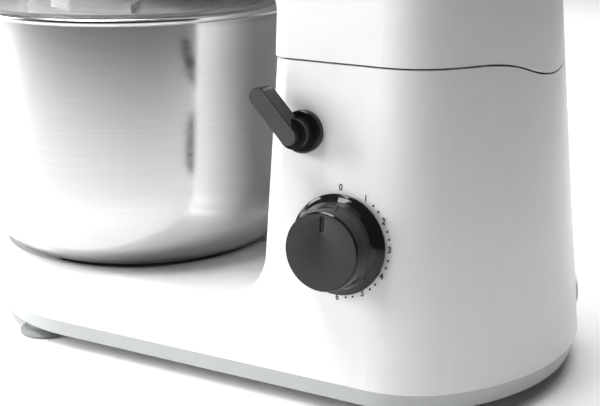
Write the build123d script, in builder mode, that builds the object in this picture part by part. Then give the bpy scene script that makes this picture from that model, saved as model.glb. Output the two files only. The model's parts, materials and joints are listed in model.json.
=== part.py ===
from build123d import *
import os
from math import atan2, cos, degrees, pi, radians, sin, sqrt, tan

os.makedirs("parts", exist_ok=True)

# Stand mixer with a tilting head. Millimetres, +Z up, floor at z = 0.
# The nose points to -X and the controls are on the -Y side.

# ---------------------------------------------------------------- driving dimensions
DRIVE_X = -86.5                 # vertical drive axis, which is also the bowl's centre
WALL = 2.6                      # plastic shells
DRAFT = 5.5                     # degrees, all outer walls lean in
SEAM_GAP = 1.0                  # between the column and the head
FOOT_H = 8.0                    # floor to the underside of the bottom cover
PART_Z = 18.4                   # parting line of the bottom cover and the housing
DECK_Z = 50.0                   # top of the base around the bowl
SEAM_Z = 186.0                  # seam between the column and the head
DIP = 11.5                      # how far the seam dips at the rear
DIP_HALF = 60.0                 # half the width of that dip
UNDER_Z = 222.0                 # underside of the head over the bowl
SPLIT_Z = 238.0                 # joint of the head's lower and upper shells
TOP_Z = 306.0                   # top of the head

BASE_HALF = 101.2               # half width of the base at the parting line
BASE_NOSE_X = -80.2             # centre of the base's round front
REAR_X = 80.2                   # centre of the rear arc
REAR_R = 118.0                  # rear arc at the parting line
CORNER_R = 60.0                 # blend of the side and the rear arc
COLUMN_X = 54.0                 # front of the column where it meets the base
COLUMN_TOP_X = 57.6             # front of the column at the seam
ROOT_R = 30.0                   # hollow blend of the column into the base
EDGE_R = 11.0                   # rounded edges of the base and the column

NOSE_R = 76.0                   # head's round nose at the seam's height
CROWN_R = 30.0                  # rounded top edges of the head
THROAT_R = 14.0                 # hollow blend below the head, in front of the column

BOWL_R = 108.0                  # outer wall of the bowl at the rim
BOWL_FLOOR_R = 74.0             # flat floor of the bowl
BOWL_FLOOR_Z = 48.6
BOWL_BELLY_Z = 100.0            # where the rounded bottom becomes the wall
BOWL_RIM_Z = 198.2
RIM_R = 2.2                     # rolled edge of the bowl
SHEET = 0.9                     # steel of the bowl
GUARD_R = 112.0                 # clear splash guard over the bowl

PIVOT_X, PIVOT_Z = 164.0, 140.0  # hinge of the head
PIN_R = 4.0

KNOB_X, KNOB_Z = 102.8, 94.2
LEVER_X, LEVER_Z = 79.4, 150.0

RING_TEETH, PLANET_TEETH, PLANET_MODULE = 48, 16, 1.75
MAIN_TEETH, PINION_TEETH, MAIN_MODULE = 48, 12, 1.5
ORBIT = PLANET_MODULE * (RING_TEETH - PLANET_TEETH) / 2
IDLER_X = DRIVE_X + MAIN_MODULE * (MAIN_TEETH + PINION_TEETH) / 2
MOTOR_X = 100.0
PULLEY_R, MOTOR_PULLEY_R = 40.0, 8.0

SPAN = 260.0                    # half the length of cutting solids that pass right through
ACROSS = 130.0                  # and half their width
RUN_GAP = 0.05                  # clearance of a shaft in its bore

LEAN = tan(radians(DRAFT))
TOOL_X = DRIVE_X + ORBIT


def inset_at(z):
    """How far the outer walls have leaned in at height z."""
    return (z - PART_Z) * LEAN


def rear_points(inset):
    """Tangent points of the rear: side to corner, and corner to rear arc."""
    reach = REAR_R - CORNER_R
    side = BASE_HALF - CORNER_R
    corner_x = REAR_X + sqrt(reach**2 - side**2)
    ux, uy = (corner_x - REAR_X) / reach, side / reach
    radius = REAR_R - inset
    mid = (atan2(1, 0) + atan2(uy, ux)) / 2
    blend = CORNER_R - inset
    return {
        "side": (corner_x, BASE_HALF - inset),
        "mid": (corner_x + blend * cos(mid), side + blend * sin(mid)),
        "arc": (REAR_X + radius * ux, radius * uy),
        "end": (REAR_X + radius, 0),
    }


def rear_edge(inset):
    """The rear of an outline, from the -Y side round to the +Y side."""
    p = rear_points(inset)
    side, mid, arc = p["side"], p["mid"], p["arc"]
    ThreePointArc((side[0], -side[1]), (mid[0], -mid[1]), (arc[0], -arc[1]))
    ThreePointArc((arc[0], -arc[1]), p["end"], arc)
    ThreePointArc(arc, mid, side)


def base_outline(inset):
    """Plan of the base: round front, straight sides, arched rear."""
    half = BASE_HALF - inset
    side = rear_points(inset)["side"]
    with BuildSketch() as face:
        with BuildLine():
            rear_edge(inset)
            Line((side[0], half), (BASE_NOSE_X, half))
            ThreePointArc((BASE_NOSE_X, half), (BASE_NOSE_X - half, 0), (BASE_NOSE_X, -half))
            Line((BASE_NOSE_X, -half), (side[0], -half))
        make_face()
    return face.sketch


def head_outline(inset):
    """Plan of the head: the column's rear and sides, drawn in to a narrower round nose."""
    seam_inset = inset_at(SEAM_Z)
    half = BASE_HALF - seam_inset
    run = COLUMN_TOP_X - DRIVE_X
    sweep_r = (run**2 + half**2 - NOSE_R**2) / (2 * (half - NOSE_R))
    cy = half - sweep_r
    ux, uy = -run / (sweep_r - NOSE_R), -cy / (sweep_r - NOSE_R)
    extra = inset - seam_inset
    radius, nose = sweep_r - extra, NOSE_R - extra
    touch = (COLUMN_TOP_X + radius * ux, cy + radius * uy)
    lean = (pi / 2 + atan2(uy, ux)) / 2
    mid = (COLUMN_TOP_X + radius * cos(lean), cy + radius * sin(lean))
    side = rear_points(inset)["side"]
    with BuildSketch() as face:
        with BuildLine():
            rear_edge(inset)
            Line((side[0], half - extra), (COLUMN_TOP_X, half - extra))
            ThreePointArc((COLUMN_TOP_X, half - extra), mid, touch)
            ThreePointArc(touch, (DRIVE_X - nose, 0), (touch[0], -touch[1]))
            ThreePointArc((touch[0], -touch[1]), (mid[0], -mid[1]), (COLUMN_TOP_X, -half + extra))
            Line((COLUMN_TOP_X, -half + extra), (side[0], -half + extra))
        make_face()
    return face.sketch


def bay_profile(shift):
    """Side view of the space in front of the column, moved in by a wall thickness."""
    Polygon(
        (-SPAN, DECK_Z - shift),
        (COLUMN_X + shift, DECK_Z - shift),
        (COLUMN_TOP_X + shift + 0.4, SEAM_Z + 14),
        (-SPAN, SEAM_Z + 14),
        align=None,
    )
    fillet(vertices().group_by(Axis.Y)[0].sort_by(Axis.X)[-1], ROOT_R + shift)


def seam_cut(height, reach):
    """Everything above the rear seam (or below it, for a negative reach), which dips in four arcs."""
    low = height - DIP
    quarter, half = DIP_HALF / 2, DIP_HALF
    rise = DIP / 2
    bend = (quarter**2 + rise**2) / (2 * rise)
    tilt = degrees(atan2(quarter, bend - rise)) / 2
    dx, dz = bend * sin(radians(tilt)), bend * (1 - cos(radians(tilt)))
    with BuildSketch() as face:
        with BuildLine():
            Line((-ACROSS, height), (-half, height))
            ThreePointArc((-half, height), (-half + dx, height - dz), (-quarter, height - rise))
            ThreePointArc((-quarter, height - rise), (-dx, low + dz), (0, low))
            ThreePointArc((0, low), (dx, low + dz), (quarter, height - rise))
            ThreePointArc((quarter, height - rise), (half - dx, height - dz), (half, height))
            Polyline(
                (half, height),
                (ACROSS, height),
                (ACROSS, height + reach),
                (-ACROSS, height + reach),
                (-ACROSS, height),
            )
        make_face()
    return face.sketch


def panel_y(z):
    return -(BASE_HALF - inset_at(z))


def panel_plane(x, z, out=0.0):
    """Plane on the control side, its z pointing out of the panel."""
    lean = radians(DRAFT)
    normal = Vector(0, -cos(lean), sin(lean))
    return Plane(origin=Vector(x, panel_y(z), z) + normal * out, x_dir=(1, 0, 0), z_dir=normal)


def gear_face(teeth, module, tip, root, share, phase=0.0):
    """Face of a spur gear with straight-sided teeth; share is the tooth's part of the pitch."""
    pitch_r = module * teeth / 2
    tip_r, root_r = pitch_r + tip * module, pitch_r - root * module
    pitch = 2 * pi / teeth
    points = []
    for i in range(teeth):
        mid = radians(phase) + i * pitch
        for radius, half in (
            (root_r, share * pitch * 0.72),
            (tip_r, share * pitch * 0.30),
        ):
            points.append((radius, mid - half))
        points.append((tip_r, mid + share * pitch * 0.30))
        points.append((root_r, mid + share * pitch * 0.72))
    with BuildSketch() as face:
        Polygon(*[(r * cos(a), r * sin(a)) for r, a in points], align=None)
    return face.sketch


def bay_edges(body):
    """Edges of the base and the column beside the bowl, which run round the front in one chain."""
    return body.edges().filter_by(
        lambda e: DECK_Z - 5 < e.center().Z < SEAM_Z + 2
        and e.center().X < COLUMN_TOP_X + 6
        and abs((e @ 0).Y * (e @ 1).Y) > 1
    ).filter_by(Axis.Y, reverse=True)


# ---------------------------------------------------------------- base housing and column
with BuildPart() as housing_core:
    with BuildSketch(Plane.XY.offset(PART_Z)):
        add(base_outline(WALL))
    extrude(amount=SEAM_Z - PART_Z + 4, taper=DRAFT)
    with BuildSketch(Plane.XZ):
        bay_profile(WALL)
    extrude(amount=ACROSS, both=True, mode=Mode.SUBTRACT)
    fillet(bay_edges(housing_core), EDGE_R - WALL)

RECESS_R = 88.0
RECESS_Z = 44.0
BOSS_TOPS = {(-150, 45): 43, (-15, 84): 48.5, (90, 93): 46, (170.5, 63.5): 46}
BOSS_SPOTS = [(x, side * y, top) for (x, y), top in BOSS_TOPS.items() for side in (1, -1)]
BOSS_Z = PART_Z + 3             # lower end of the housing's screw bosses
BOSS_R, PILOT_R, PILOT_DEEP = 4.5, 1.6, 16.0
HEAD_POCKET_R, HEAD_POCKET_DEEP = 3.4, 6.0
KNOB_HOLE_R, LEVER_HOLE_R = 5.0, 6.5
SEAM_CUT_X = 110.0              # the dip is cut from here to the rear
INLET_Z = 34.0
INLET_ANGLE = 26.0              # round the rear arc, away from the control side
INLET_FACE = 117.4              # outer end, from the centre of the rear arc


def inlet_plane(reach):
    """Plane across the inlet's axis, its y up, at a distance from the centre of the rear arc."""
    turn = radians(INLET_ANGLE)
    way = Vector(cos(turn), sin(turn), 0)
    return Plane(origin=Vector(REAR_X, 0, 0) + way * reach, x_dir=(-sin(turn), cos(turn), 0), z_dir=way)


with BuildPart() as housing:
    with BuildSketch(Plane.XY.offset(PART_Z)):
        add(base_outline(0))
    extrude(amount=SEAM_Z - SEAM_GAP / 2 - PART_Z, taper=DRAFT)
    with BuildSketch(Plane.XZ):
        bay_profile(0)
    extrude(amount=ACROSS, both=True, mode=Mode.SUBTRACT)
    fillet(bay_edges(housing), EDGE_R)
    add(housing_core.part, mode=Mode.SUBTRACT)
    with BuildSketch(Plane.YZ.offset(SEAM_CUT_X)):
        add(seam_cut(SEAM_Z - SEAM_GAP / 2, 60))
    extrude(amount=SEAM_CUT_X, mode=Mode.SUBTRACT)
    with BuildSketch(Plane.XY.offset(RECESS_Z - WALL)):
        with Locations((DRIVE_X, 0)):
            Circle(RECESS_R + WALL)
    extrude(amount=DECK_Z - RECESS_Z)
    with BuildSketch(Plane.XY.offset(RECESS_Z)):
        with Locations((DRIVE_X, 0)):
            Circle(RECESS_R)
    extrude(amount=20, mode=Mode.SUBTRACT)
    for x, y, top in BOSS_SPOTS:
        with BuildSketch(Plane.XY.offset(BOSS_Z)):
            with Locations((x, y)):
                Circle(BOSS_R)
        extrude(amount=top - BOSS_Z)
        with BuildSketch(Plane.XY.offset(BOSS_Z)):
            with Locations((x, y)):
                Circle(PILOT_R)
        extrude(amount=PILOT_DEEP, mode=Mode.SUBTRACT)
    for x, z, radius in ((KNOB_X, KNOB_Z, KNOB_HOLE_R), (LEVER_X, LEVER_Z, LEVER_HOLE_R)):
        with BuildSketch(panel_plane(x, z, -8)):
            Circle(radius)
        extrude(amount=12, mode=Mode.SUBTRACT)
    for reach, radius in ((100, 7.0), (INLET_FACE - 1.7, 9.3)):
        with BuildSketch(inlet_plane(reach)):
            with Locations((0, INLET_Z)):
                Circle(radius)
        extrude(amount=30, mode=Mode.SUBTRACT)
housing.part.label = "base_housing"
export_step(housing.part, "parts/base_housing.step")

# ---------------------------------------------------------------- bottom cover, feet and screws
COVER_TAPER = 14.0
COVER_TOP = PART_Z - 0.3
COVER_INSET = 0.5
FOOT_SPOTS = [(-107.4, 80), (-107.4, -80), (128, 74), (128, -74)]
FOOT_STEM_R = 4.2               # hole for a foot's stem
cover_plane = Plane(origin=(0, 0, COVER_TOP), x_dir=(1, 0, 0), z_dir=(0, 0, -1))
with BuildPart() as cover:
    with BuildSketch(cover_plane):
        add(base_outline(COVER_INSET))
    extrude(amount=COVER_TOP - FOOT_H, taper=COVER_TAPER)
    with BuildSketch(cover_plane):
        add(base_outline(COVER_INSET + WALL))
    extrude(amount=COVER_TOP - FOOT_H - WALL, taper=COVER_TAPER, mode=Mode.SUBTRACT)
    for x, y, top in BOSS_SPOTS:
        with BuildSketch(Plane.XY.offset(FOOT_H)):
            with Locations((x, y)):
                Circle(BOSS_R)
        extrude(amount=BOSS_Z - 0.4 - FOOT_H)
        with BuildSketch(Plane.XY.offset(FOOT_H)):
            with Locations((x, y)):
                Circle(HEAD_POCKET_R)
        extrude(amount=HEAD_POCKET_DEEP, mode=Mode.SUBTRACT)
        with BuildSketch(Plane.XY.offset(FOOT_H)):
            with Locations((x, y)):
                Circle(PILOT_R + 0.3)
        extrude(amount=20, mode=Mode.SUBTRACT)
    with BuildSketch(Plane.XY.offset(FOOT_H - 1)):
        with Locations(*FOOT_SPOTS):
            Circle(FOOT_STEM_R)
    extrude(amount=6, mode=Mode.SUBTRACT)
    with BuildSketch(Plane.XY.offset(FOOT_H - 1)):
        with Locations((40, 0)):
            with GridLocations(9, 0, 9, 1):
                SlotOverall(46, 3.5, rotation=90)
    extrude(amount=6, mode=Mode.SUBTRACT)
cover.part.label = "bottom_cover"
export_step(cover.part, "parts/bottom_cover.step")

with BuildPart() as feet:
    for x, y in FOOT_SPOTS:
        with BuildSketch(Plane(origin=(x, y, 0), x_dir=(1, 0, 0), z_dir=(0, -1, 0))):
            with BuildLine():
                Polyline((0, 3.2), (6, 2.8), (12.5, 1.2), (14.4, 0), (16.5, 0), (16.5, 1.4), (14, 3.4))
                ThreePointArc((14, 3.4), (10.6, 5.2), (9.4, FOOT_H - 0.1))
                Polyline((9.4, FOOT_H - 0.1), (4, FOOT_H - 0.1), (4, 11.4), (5.4, 11.4), (3.6, 14), (0, 14))
                Line((0, 14), (0, 3.2))
            make_face()
        revolve(axis=Axis((x, y, 0), (0, 0, 1)))
feet.part.label = "suction_feet"
export_step(feet.part, "parts/suction_feet.step")


def screw(radius, head_r, head_h, length):
    """A cross-head screw, its head's seat at z = 0 and its shank up along +Z."""
    with BuildPart() as body:
        with BuildSketch():
            Circle(head_r)
        extrude(amount=-head_h)
        fillet(body.edges().group_by(Axis.Z)[0], head_h * 0.45)
        with BuildSketch():
            Circle(radius)
        extrude(amount=length)
        with BuildSketch(Plane.XY.offset(-head_h)):
            Rectangle(head_r * 1.1, head_r * 0.28)
            Rectangle(head_r * 0.28, head_r * 1.1)
        extrude(amount=head_h * 0.5, mode=Mode.SUBTRACT)
    return body.part


base_screw = screw(1.5, 3.1, 1.8, 20)
base_screws = Compound([Pos(x, y, FOOT_H + HEAD_POCKET_DEEP) * base_screw for x, y, top in BOSS_SPOTS])
base_screws.label = "base_screws"
export_step(base_screws, "parts/base_screws.step")

# ---------------------------------------------------------------- bowl seat and bowl
SEAT_TOP = 48.2
SEAT_R = 81.0                   # inside of the seat's ring
LUG_T, LUG_TURN = 1.4, 15       # bayonet lugs of the seat
SEAT_Z = RECESS_Z + 0.05
with BuildPart() as seat:
    with BuildSketch(Plane.XY.offset(SEAT_Z)):
        with Locations((DRIVE_X, 0)):
            Circle(RECESS_R - 0.3)
            Circle(SEAT_R, mode=Mode.SUBTRACT)
    extrude(amount=SEAT_TOP - SEAT_Z)
    with BuildSketch(Plane.XY.offset(SEAT_TOP - LUG_T)):
        with Locations((DRIVE_X, 0)):
            with PolarLocations(SEAT_R - 2.4, 3, start_angle=LUG_TURN):
                Rectangle(5.4, 24)
            Circle(SEAT_R - 5.5, mode=Mode.SUBTRACT)
    extrude(amount=LUG_T)
    chamfer(seat.edges().group_by(Axis.Z)[-1].filter_by(GeomType.CIRCLE).sort_by(SortBy.LENGTH)[-1], 0.6)
seat.part.label = "bowl_seat"
export_step(seat.part, "parts/bowl_seat.step")

WALL_TOP = BOWL_RIM_Z - 0.6
with BuildPart() as bowl:
    with BuildSketch(Plane.XZ.offset(0)):
        with BuildLine():
            for skin in (0.0, SHEET):
                a = BOWL_R - 0.8 - BOWL_FLOOR_R - skin
                b = BOWL_BELLY_Z - BOWL_FLOOR_Z - skin
                heart = (DRIVE_X + BOWL_FLOOR_R, BOWL_BELLY_Z)
                EllipticalCenterArc(heart, a, b, start_angle=270, arc_size=90)
                Line((DRIVE_X, BOWL_FLOOR_Z + skin), (heart[0], BOWL_BELLY_Z - b))
                Line((heart[0] + a, BOWL_BELLY_Z), (DRIVE_X + BOWL_R - skin, WALL_TOP))
            Line((DRIVE_X + BOWL_R, WALL_TOP), (DRIVE_X + BOWL_R - SHEET, WALL_TOP))
            Line((DRIVE_X, BOWL_FLOOR_Z), (DRIVE_X, BOWL_FLOOR_Z + SHEET))
        make_face()
        with Locations((DRIVE_X + BOWL_R - 0.2, BOWL_RIM_Z)):
            Circle(RIM_R)
    revolve(axis=Axis((DRIVE_X, 0, 0), (0, 0, 1)))
bowl.part.label = "bowl"
export_step(bowl.part, "parts/bowl.step")

FOOT_RING_Z = RECESS_Z + 0.4
FOOT_RING_OUT, FOOT_RING_IN = 74.2, 70.0
CLAW_T = 1.9                    # claws that turn under the seat's lugs
with BuildPart() as bowl_foot:
    with BuildSketch(Plane.XY.offset(FOOT_RING_Z)):
        with Locations((DRIVE_X, 0)):
            Circle(FOOT_RING_OUT)
            Circle(FOOT_RING_IN, mode=Mode.SUBTRACT)
    extrude(amount=BOWL_FLOOR_Z - FOOT_RING_Z)
    with BuildSketch(Plane.XY.offset(FOOT_RING_Z)):
        with Locations((DRIVE_X, 0)):
            with PolarLocations(FOOT_RING_OUT + 2.2, 3, start_angle=LUG_TURN):
                Rectangle(6.4, 18)
            Circle(FOOT_RING_IN + 2, mode=Mode.SUBTRACT)
    extrude(amount=CLAW_T)
bowl_foot.part.label = "bowl_foot"
export_step(bowl_foot.part, "parts/bowl_foot.step")

# ---------------------------------------------------------------- head shells
HEAD_BOTTOM = SEAM_Z + SEAM_GAP / 2
CROWN_FALL = 27.0               # how far the crown falls away over its run
CROWN_RUN = 240.0


START_Z = SEAM_Z - 20


def head_solid(skin):
    """The head's full outer form, moved in by skin."""
    top = TOP_Z - skin
    ends = top - CROWN_FALL
    with BuildPart() as body:
        with BuildSketch(Plane.XY.offset(START_Z)):
            add(head_outline(inset_at(START_Z) + skin))
        extrude(amount=TOP_Z + 6 - START_Z, taper=DRAFT)
        with BuildSketch(Plane.XZ):
            with BuildLine():
                ThreePointArc((10 - CROWN_RUN, ends), (10, top), (10 + CROWN_RUN, ends))
                Polyline(
                    (10 + CROWN_RUN, ends),
                    (10 + CROWN_RUN, TOP_Z + 94),
                    (10 - CROWN_RUN, TOP_Z + 94),
                    (10 - CROWN_RUN, ends),
                )
            make_face()
        extrude(amount=ACROSS, both=True, mode=Mode.SUBTRACT)
        crown = body.edges().filter_by(lambda e: e.center().Z > 262 and abs((e @ 0).Z - (e @ 1).Z) < 30)
        fillet(crown, CROWN_R - skin)
        with BuildSketch(Plane.XZ):
            Polygon(
                (-260, 100),
                (COLUMN_TOP_X + skin, 100),
                (COLUMN_TOP_X + skin - 1.5, UNDER_Z + skin),
                (-260, UNDER_Z + skin),
                align=None,
            )
            fillet(vertices().group_by(Axis.Y)[-1].sort_by(Axis.X)[-1], max(THROAT_R - skin, 1))
        extrude(amount=ACROSS, both=True, mode=Mode.SUBTRACT)
        lower = body.edges().filter_by(
            lambda e: SEAM_Z - 15 < e.center().Z < UNDER_Z + 4 and e.center().X < 64
            and abs((e @ 0).Y * (e @ 1).Y) > 1
        ).filter_by(Axis.Y, reverse=True)
        fillet(lower, EDGE_R - skin)
        with BuildSketch(Plane.YZ.offset(SEAM_CUT_X)):
            add(seam_cut(HEAD_BOTTOM, -80))
        extrude(amount=SEAM_CUT_X, mode=Mode.SUBTRACT)
        with BuildSketch(Plane.XY.offset(HEAD_BOTTOM)):
            with Locations((0, 0)):
                Rectangle(220, 240)
        extrude(amount=-80, mode=Mode.SUBTRACT)
    return body.part


head_shell = head_solid(0) - head_solid(WALL)
HUB_R = 52.0                    # gearbox collar under the head
with BuildPart() as head_lower:
    add(head_shell)
    split(bisect_by=Plane.XY.offset(SPLIT_Z - 0.2), keep=Keep.BOTTOM)
    with BuildSketch(Plane.XY.offset(UNDER_Z - 2)):
        with Locations((DRIVE_X, 0)):
            Circle(HUB_R + 1)
    extrude(amount=8, mode=Mode.SUBTRACT)
    with BuildSketch(Plane.XY.offset(UNDER_Z - 2)):
        with Locations((8, 0)):
            with GridLocations(7, 0, 9, 1):
                SlotOverall(64, 2.6, rotation=90)
    extrude(amount=8, mode=Mode.SUBTRACT)
head_lower.part.label = "head_lower_shell"
export_step(head_lower.part, "parts/head_lower_shell.step")

with BuildPart() as head_upper:
    add(head_shell)
    split(bisect_by=Plane.XY.offset(SPLIT_Z + 0.2), keep=Keep.TOP)
head_upper.part.label = "head_upper_shell"
export_step(head_upper.part, "parts/head_upper_shell.step")

# ---------------------------------------------------------------- head chassis and hinge
PLATE_Z, PLATE_T = 226.0, 4.0
CUP_Z = 207.5                   # lower edge of the gearbox collar
CUP_R = 47.0                    # its inside, which holds the ring gear
BOSS_TOP, BEARING_R = 232.0, 13.0
IDLER_R = 4.0                   # spindle of the idler
RAIL_Y, RAIL_T = 44.0, 4.0
RAIL_Z = 188.0
ARM_Y, ARM_T = 17.0, 5.0
DECK_SCREWS = [(-18, 36), (-18, -36), (14, 36), (14, -36)]
with BuildPart() as chassis:
    with BuildSketch(Plane.XY.offset(PLATE_Z)):
        with Locations(((56 - 128) / 2, 0)):
            RectangleRounded(184, 96, 30)
    extrude(amount=PLATE_T)
    with BuildSketch(Plane.XY.offset(PLATE_Z)):
        with Locations((DRIVE_X, 0)):
            Circle(HUB_R)
    extrude(amount=BOSS_TOP - PLATE_Z)
    with BuildSketch(Plane.XY.offset(PLATE_Z)):
        with Locations((DRIVE_X, 0)):
            Circle(BEARING_R)
    extrude(amount=BOSS_TOP - PLATE_Z, mode=Mode.SUBTRACT)
    with BuildSketch(Plane.XY.offset(PLATE_Z + PLATE_T)):
        with Locations((IDLER_X, 0)):
            Circle(IDLER_R)
    extrude(amount=30)
    with BuildSketch(Plane.XY.offset(PLATE_Z)):
        with Locations(*DECK_SCREWS):
            Circle(1.95)
    extrude(amount=PLATE_T, mode=Mode.SUBTRACT)
    for side in (1, -1):
        with BuildSketch(Plane.XZ.offset(-side * (RAIL_Y + RAIL_T / 2))):
            Polygon((22, PLATE_Z), (64, PLATE_Z - 2), (64, RAIL_Z), (150, RAIL_Z), (150, 204), (136, 230),
                    (22, 230), align=None)
        extrude(amount=RAIL_T / 2, both=True)
        with BuildSketch(Plane.XZ.offset(-side * (ARM_Y + ARM_T / 2))):
            Polygon((PIVOT_X - 7.2, PIVOT_Z - 5.4), (PIVOT_X + 7.2, PIVOT_Z + 5.4), (140, RAIL_Z + 6),
                    (118, RAIL_Z + 6), align=None)
            with Locations((PIVOT_X, PIVOT_Z)):
                Circle(9.0)
                Circle(PIN_R + RUN_GAP, mode=Mode.SUBTRACT)
        extrude(amount=ARM_T / 2, both=True)
    with BuildSketch(Plane.XY.offset(RAIL_Z)):
        with Locations((128, 0)):
            Rectangle(22, 2 * RAIL_Y + 2)
    extrude(amount=6)
chassis.part.label = "head_chassis"
export_step(chassis.part, "parts/head_chassis.step")

with BuildPart() as gearbox_collar:
    with BuildSketch(Plane.XY.offset(CUP_Z)):
        with Locations((DRIVE_X, 0)):
            Circle(HUB_R)
            Circle(CUP_R, mode=Mode.SUBTRACT)
    extrude(amount=PLATE_Z - CUP_Z)
    chamfer(gearbox_collar.edges().group_by(Axis.Z)[0].sort_by(SortBy.RADIUS)[-1], 1.2)
gearbox_collar.part.label = "gearbox_collar"
export_step(gearbox_collar.part, "parts/gearbox_collar.step")

CHEEK_Y, CHEEK_T = 24.0, 4.0
FRAME_Z = FOOT_H + WALL + 0.1
with BuildPart() as column_frame:
    with BuildSketch(Plane.XY.offset(FRAME_Z)):
        with Locations((136, 0)):
            RectangleRounded(76, 92, 8)
    extrude(amount=4)
    for side in (1, -1):
        with BuildSketch(Plane.XZ.offset(-side * (CHEEK_Y + CHEEK_T / 2))):
            Polygon(
                (112, FRAME_Z + 2),
                (174, FRAME_Z + 2),
                (PIVOT_X + 9, PIVOT_Z),
                (PIVOT_X - 9, PIVOT_Z + 2),
                (140, 96),
                align=None,
            )
            with Locations((PIVOT_X, PIVOT_Z)):
                Circle(9.0)
                Circle(PIN_R, mode=Mode.SUBTRACT)
        extrude(amount=CHEEK_T / 2, both=True)
    with BuildSketch(Plane.XY.offset(84)):
        with Locations((156, 0)):
            Rectangle(12, 2 * CHEEK_Y + 2)
    extrude(amount=4)
column_frame.part.label = "column_frame"
export_step(column_frame.part, "parts/column_frame.step")

with BuildPart() as hinge_pin:
    with BuildSketch(Plane(origin=(PIVOT_X, -31, PIVOT_Z), x_dir=(1, 0, 0), z_dir=(0, 1, 0))):
        Circle(PIN_R)
    extrude(amount=62)
    chamfer(hinge_pin.edges(), 0.8)
hinge_pin.part.label = "hinge_pin"
export_step(hinge_pin.part, "parts/hinge_pin.step")

TOP_PLATE_Z = 168.0
with BuildPart() as top_plate:
    add(housing_core.part)
    with BuildSketch(Plane.XY.offset(TOP_PLATE_Z)):
        Rectangle(500, 300)
        with Locations((-60, 0)):
            Rectangle(220, 300, mode=Mode.SUBTRACT)
        with Locations((PIVOT_X - 16, 0)):
            Rectangle(56, 50, mode=Mode.SUBTRACT)
        with Locations((90, -59)):
            Rectangle(42, 15, mode=Mode.SUBTRACT)
    extrude(amount=3, mode=Mode.INTERSECT)
top_plate.part.label = "column_top_plate"
export_step(top_plate.part, "parts/column_top_plate.step")

with BuildPart() as buffers:
    with BuildSketch(Plane.XY.offset(TOP_PLATE_Z + 3)):
        with Locations((72, RAIL_Y + 2), (72, -RAIL_Y - 2)):
            Circle(6.0)
    extrude(amount=RAIL_Z - 0.1 - TOP_PLATE_Z - 3)
    chamfer(buffers.edges().group_by(Axis.Z)[-1], 1.2)
buffers.part.label = "head_buffers"
export_step(buffers.part, "parts/head_buffers.step")

# ---------------------------------------------------------------- planetary drive
CARRIER_Z = 197.0
TEETH_Z, TEETH_H = 212.0, 10.0
MAIN_Z, MAIN_H = 234.0, 8.0
SHAFT_R = 5.95                  # tool shaft
MAIN_R = 6.0                    # main shaft
CARRIER_R, CARRIER_T = 51.0, 8.5
TOOL_BOSS_R = 10.5
with BuildPart() as ring_gear:
    with BuildSketch(Plane.XY.offset(TEETH_Z)):
        with Locations((DRIVE_X, 0)):
            Circle(46.8)
        with Locations((DRIVE_X, 0)):
            add(gear_face(RING_TEETH, PLANET_MODULE, 1.1, 0.75, 0.58), mode=Mode.SUBTRACT)
    extrude(amount=TEETH_H)
ring_gear.part.label = "ring_gear"
export_step(ring_gear.part, "parts/ring_gear.step")

with BuildPart() as carrier:
    with BuildSketch(Plane.XY.offset(CARRIER_Z)):
        with Locations((DRIVE_X, 0)):
            Circle(CARRIER_R)
    extrude(amount=CARRIER_T)
    fillet(carrier.edges().group_by(Axis.Z)[0], 3.5)
    with BuildSketch(Plane.XY.offset(CARRIER_Z + 2)):
        with Locations((DRIVE_X, 0)):
            Circle(MAIN_R)
    extrude(amount=47)
    with BuildSketch(Plane.XY.offset(CARRIER_Z + 5)):
        with Locations((TOOL_X, 0)):
            Circle(TOOL_BOSS_R)
    extrude(amount=9)
    with BuildSketch(Plane.XY.offset(CARRIER_Z - 5)):
        with Locations((TOOL_X, 0)):
            Circle(SHAFT_R + RUN_GAP)
    extrude(amount=30, mode=Mode.SUBTRACT)
carrier.part.label = "planet_carrier"
export_step(carrier.part, "parts/planet_carrier.step")

with BuildPart() as main_gear:
    with BuildSketch(Plane.XY.offset(MAIN_Z)):
        with Locations((DRIVE_X, 0)):
            add(gear_face(MAIN_TEETH, MAIN_MODULE, 0.75, 1.1, 0.42))
            Circle(MAIN_R, mode=Mode.SUBTRACT)
            with PolarLocations(21, 6):
                Circle(6.5, mode=Mode.SUBTRACT)
    extrude(amount=MAIN_H)
main_gear.part.label = "main_gear"
export_step(main_gear.part, "parts/main_gear.step")

with BuildPart() as main_bearing:
    with BuildSketch(Plane.XY.offset(PLATE_Z)):
        with Locations((DRIVE_X, 0)):
            Circle(BEARING_R)
            Circle(MAIN_R + 0.04, mode=Mode.SUBTRACT)
    extrude(amount=BOSS_TOP - PLATE_Z)
    with BuildSketch(Plane.XY.offset(231.2)):
        with Locations((DRIVE_X, 0)):
            Circle(11.0)
            Circle(8.2, mode=Mode.SUBTRACT)
    extrude(amount=0.8, mode=Mode.SUBTRACT)
main_bearing.part.label = "main_bearing"
export_step(main_bearing.part, "parts/main_bearing.step")

with BuildPart() as idler_pinion:
    with BuildSketch(Plane.XY.offset(MAIN_Z - 1)):
        with Locations((IDLER_X, 0)):
            add(gear_face(PINION_TEETH, MAIN_MODULE, 0.75, 1.1, 0.42, 180 / PINION_TEETH))
            Circle(IDLER_R + RUN_GAP, mode=Mode.SUBTRACT)
    extrude(amount=MAIN_H + 2)
idler_pinion.part.label = "idler_pinion"
export_step(idler_pinion.part, "parts/idler_pinion.step")

BELT_Z, BELT_H, BELT_T, BELT_GAP = 250.5, 7.0, 1.8, 0.3
FLANGE_T, RIM_H = 1.3, 7.4      # flanges of the pulleys and the rim between them
PULLEY_Z = BELT_Z - 0.2 - FLANGE_T


def pulley_steps(radius):
    """Heights and radii of a pulley's two flanges and its rim."""
    return (
        (PULLEY_Z, radius + 3, FLANGE_T),
        (PULLEY_Z + FLANGE_T, radius, RIM_H),
        (PULLEY_Z + FLANGE_T + RIM_H, radius + 3, FLANGE_T),
    )


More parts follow.
